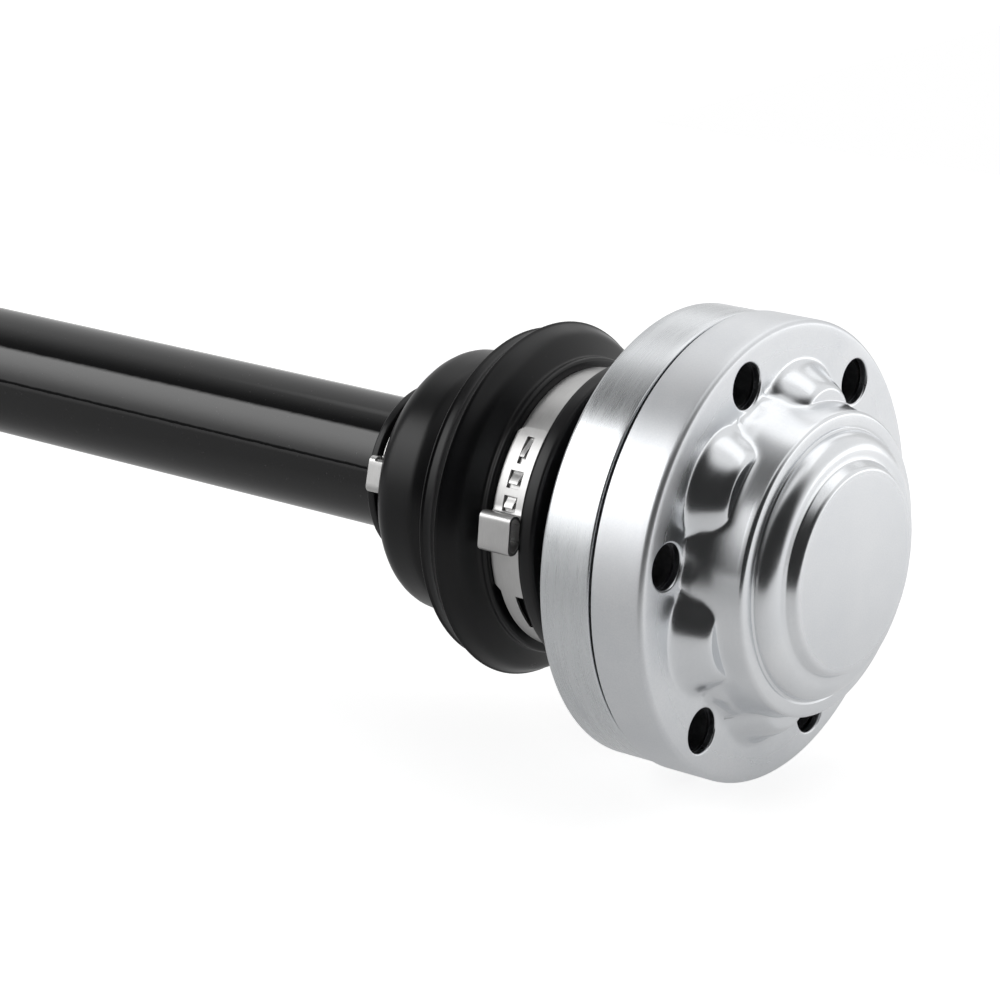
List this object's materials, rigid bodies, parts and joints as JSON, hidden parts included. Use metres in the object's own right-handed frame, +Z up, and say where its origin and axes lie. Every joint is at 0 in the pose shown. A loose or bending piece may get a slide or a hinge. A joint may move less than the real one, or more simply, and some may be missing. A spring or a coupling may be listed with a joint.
{
  "type": "cv axle",
  "caption": "Rear half shaft: a bolt-on plunging joint with a pressed end cap and a splined fixed joint, joined by a tubular shaft, each sealed by a clamped boot.",
  "frame": {"origin": "centre of the whole axle, on its axis, at mid-length", "axes": "+X along the axle towards the flanged joint, +Z up"},
  "size_m": [0.62, 0.112, 0.112],
  "materials": {
    "zinc_plate": "bright zinc plate, polished by pressing",
    "forged_steel": "machined and phosphated",
    "ground_steel": "ground and greased",
    "black_paint": "gloss black",
    "boot_rubber": "satin moulded",
    "stainless_band": "bright rolled strip"
  },
  "bodies": {
    "shaft": {"shaft_tube": "black_paint", "shaft_inner_journal": "forged_steel", "shaft_outer_journal": "forged_steel", "inner_joint_inner_race": "ground_steel", "inner_joint_snap_ring": "ground_steel", "inner_joint_spring_washer": "ground_steel", "outer_joint_inner_race": "ground_steel", "outer_joint_snap_ring": "ground_steel", "outer_joint_spacer_ring": "ground_steel", "inner_boot_small_clamp": "stainless_band", "outer_boot_small_clamp": "stainless_band"},
    "inner_cage": {"inner_joint_cage": "ground_steel", "inner_joint_ball_1": "ground_steel", "inner_joint_ball_3": "ground_steel", "inner_joint_ball_4": "ground_steel", "inner_joint_ball_6": "ground_steel"},
    "inner_slider": {"inner_joint_ball_2": "ground_steel", "inner_joint_ball_5": "ground_steel"},
    "inner_flange": {"inner_joint_outer_race": "forged_steel", "inner_joint_end_cap": "zinc_plate", "inner_joint_boot_adapter": "zinc_plate", "inner_boot": "boot_rubber", "inner_boot_large_clamp": "stainless_band"},
    "outer_cage": {"outer_joint_cage": "ground_steel", "outer_joint_ball_1": "ground_steel", "outer_joint_ball_2": "ground_steel", "outer_joint_ball_3": "ground_steel", "outer_joint_ball_4": "ground_steel", "outer_joint_ball_5": "ground_steel", "outer_joint_ball_6": "ground_steel"},
    "outer_stub": {"outer_joint_housing": "forged_steel", "outer_boot": "boot_rubber", "outer_boot_large_clamp": "stainless_band", "hub_nut": "zinc_plate"}
  },
  "joints": [
    {"name": "inner_bend", "type": "hinge", "parent": "shaft", "child": "inner_cage", "pos_m": [0.2737, 0, 0], "axis": [0, 0.1908, 0.9816], "range_deg": [-8, 8], "deforming": ["inner_boot"]},
    {"name": "inner_bend_flange_side", "type": "hinge", "parent": "inner_cage", "child": "inner_slider", "pos_m": [0.2737, 0, 0], "axis": [0, 0.1908, 0.9816], "range_deg": [-8, 8], "deforming": ["inner_boot"]},
    {"name": "inner_plunge", "type": "slide", "parent": "inner_slider", "child": "inner_flange", "axis": [1, 0, 0], "range_m": [-0.007, 0.008], "deforming": ["inner_boot"]},
    {"name": "outer_bend", "type": "hinge", "parent": "shaft", "child": "outer_stub", "pos_m": [-0.182, 0, 0], "axis": [0, 0, 1], "range_deg": [-40, 40], "deforming": ["outer_boot"]},
    {"name": "outer_cage_bend", "type": "hinge", "parent": "shaft", "child": "outer_cage", "pos_m": [-0.182, 0, 0], "axis": [0, 0, 1], "range_deg": [-20, 20], "deforming": ["outer_boot"]}
  ],
  "couplings": [
    {"joint": "inner_bend_flange_side", "follows": "inner_bend", "ratio": 1},
    {"joint": "outer_cage_bend", "follows": "outer_bend", "ratio": 0.5}
  ]
}
